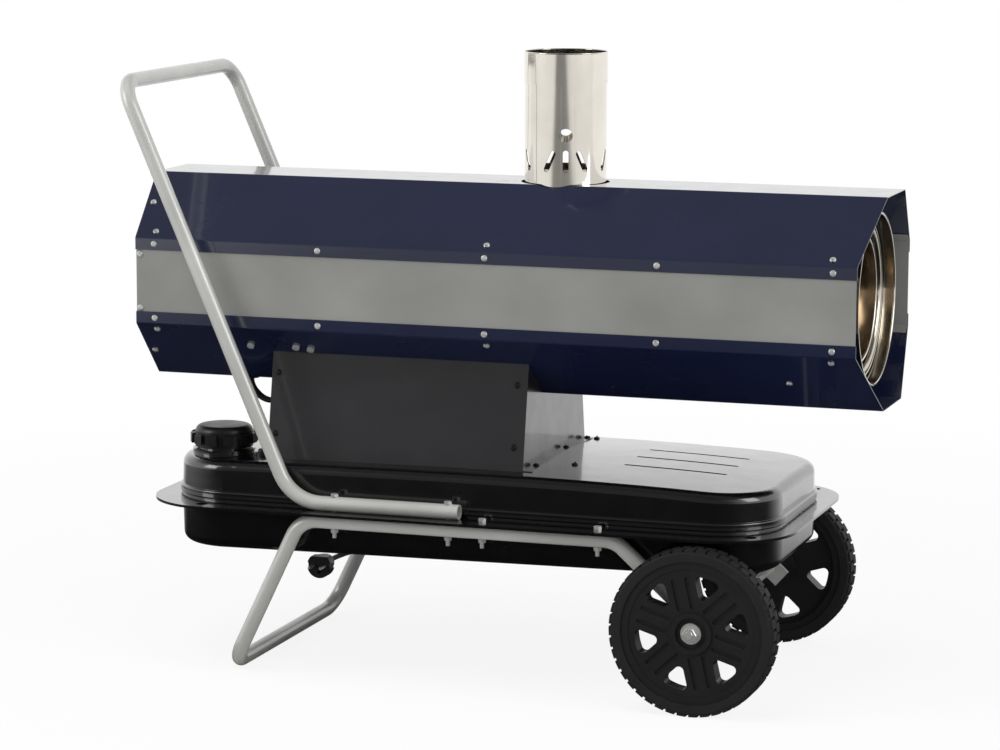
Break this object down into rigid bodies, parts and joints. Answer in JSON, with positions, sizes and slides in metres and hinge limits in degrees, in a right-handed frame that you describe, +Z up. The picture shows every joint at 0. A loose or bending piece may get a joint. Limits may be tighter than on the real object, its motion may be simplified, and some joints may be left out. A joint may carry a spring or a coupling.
{
  "type": "indirect-fired diesel heater",
  "caption": "Indirect-fired diesel space heater: hexagonal casing with flue and annular hot-air outlet, on a pressed fuel tank with a tube frame, wheels, control box and mains lead",
  "frame": {"origin": "on the floor, midway along the casing and on the centre plane", "axes": "+X along the casing towards the hot-air outlet, +Y towards the control panel side, +Z up"},
  "size_m": [1.12, 0.5476, 0.914],
  "materials": {
    "blue_paint": "semi-gloss dark blue powder coat",
    "grey_paint": "matt grey powder coat",
    "black_paint": "gloss black paint",
    "box_paint": "semi-matt black powder coat",
    "frame_steel": "satin zinc-plated tube",
    "stainless": "heat-tinted stainless sheet",
    "zinc_sheet": "galvanised sheet",
    "bright_steel": "bright zinc-plated steel",
    "black_wire": "black coated wire",
    "motor_grey": "grey enamel",
    "aluminium": "as cast",
    "cast_metal": "die-cast",
    "brass": "machined",
    "ceramic": "glazed ceramic",
    "copper_pipe": "drawn pipe",
    "black_plastic": "moulded",
    "black_rubber": "moulded rubber",
    "strainer_plastic": "moulded",
    "control_plastic": "moulded",
    "rocker_plastic": "moulded red",
    "lamp_plastic": "clear amber lens",
    "reset_plastic": "moulded green",
    "wheel_plastic": "moulded",
    "tyre": "solid tyre",
    "plug_plastic": "moulded"
  },
  "bodies": {
    "chassis": {"air_duct": "stainless", "axle": "bright_steel", "axle_nuts": "bright_steel", "box_cover": "box_paint", "box_ends": "box_paint", "bulkheads": "blue_paint", "burner_leads": "black_rubber", "burner_tube": "stainless", "cable_gland": "black_plastic", "casing_bolts": "bright_steel", "casing_bottom": "blue_paint", "casing_top": "blue_paint", "combustion_chamber": "stainless", "control_panel": "box_paint", "control_unit": "control_plastic", "cord_clip": "black_plastic", "drain_plug": "bright_steel", "fan_motor": "motor_grey", "filler_neck": "bright_steel", "filler_strainer": "strainer_plastic", "flame_sensor": "black_plastic", "flue_pipe": "zinc_sheet", "frame_bolts": "bright_steel", "frame_nuts": "bright_steel", "fuel_pump": "cast_metal", "grommets": "black_rubber", "handle_tube": "frame_steel", "heat_exchanger": "stainless", "ignition_electrodes": "ceramic", "ignition_transformer": "black_plastic", "mains_cord": "black_rubber", "motor_bracket": "zinc_sheet", "oil_nozzle": "brass", "pan_screws": "bright_steel", "plug_body": "plug_plastic", "plug_pins": "bright_steel", "rear_guard": "black_wire", "side_panel_far": "grey_paint", "side_panel_near": "grey_paint", "signal_lamp": "lamp_plastic", "stand_tube": "frame_steel", "suction_pipe": "copper_pipe", "switch_housings": "black_plastic", "tank_lower": "black_paint", "tank_upper": "black_paint", "tank_vent": "black_plastic", "thermostat": "black_plastic", "wheel_spacers": "bright_steel"},
    "fan_rotor": {"fan_blades": "aluminium", "motor_shaft": "bright_steel"},
    "wheel_near": {"wheel_rim_near": "wheel_plastic", "wheel_tyre_near": "tyre"},
    "wheel_far": {"wheel_rim_far": "wheel_plastic", "wheel_tyre_far": "tyre"},
    "cap_seal": {"cap_gasket": "black_rubber"},
    "cap": {"filler_cap": "black_plastic"},
    "rocker": {"rocker_switch": "rocker_plastic"},
    "knob": {"thermostat_knob": "black_plastic"},
    "reset": {"reset_button": "reset_plastic"}
  },
  "joints": [
    {"name": "fan_spin", "type": "hinge", "parent": "chassis", "child": "fan_rotor", "pos_m": [-0.4, 0, 0.57], "axis": [1, 0, 0], "continuous": true},
    {"name": "wheel_near_spin", "type": "hinge", "parent": "chassis", "child": "wheel_near", "pos_m": [0.334, -0.245, 0.12], "axis": [0, 1, 0], "continuous": true},
    {"name": "wheel_far_spin", "type": "hinge", "parent": "chassis", "child": "wheel_far", "pos_m": [0.334, 0.245, 0.12], "axis": [0, 1, 0], "continuous": true},
    {"name": "cap_lift", "type": "slide", "parent": "chassis", "child": "cap_seal", "axis": [0, 0, 1], "range_m": [0, 0.04]},
    {"name": "cap_turn", "type": "hinge", "parent": "cap_seal", "child": "cap", "pos_m": [-0.438, -0.098, 0.33], "axis": [0, 0, 1], "range_deg": [0, 90]},
    {"name": "rocker_tilt", "type": "hinge", "parent": "chassis", "child": "rocker", "pos_m": [-0.06, 0.13891, 0.4], "axis": [1, 0, 0], "range_deg": [-20, 0]},
    {"name": "knob_turn", "type": "hinge", "parent": "chassis", "child": "knob", "pos_m": [-0.125, 0.13891, 0.4], "axis": [0, 0.9853, 0.1709], "range_deg": [0, 270]},
    {"name": "reset_press", "type": "slide", "parent": "chassis", "child": "reset", "axis": [0, -0.9853, -0.1709], "range_m": [0, 0.003], "stiffness_N_per_m": 400}
  ]
}
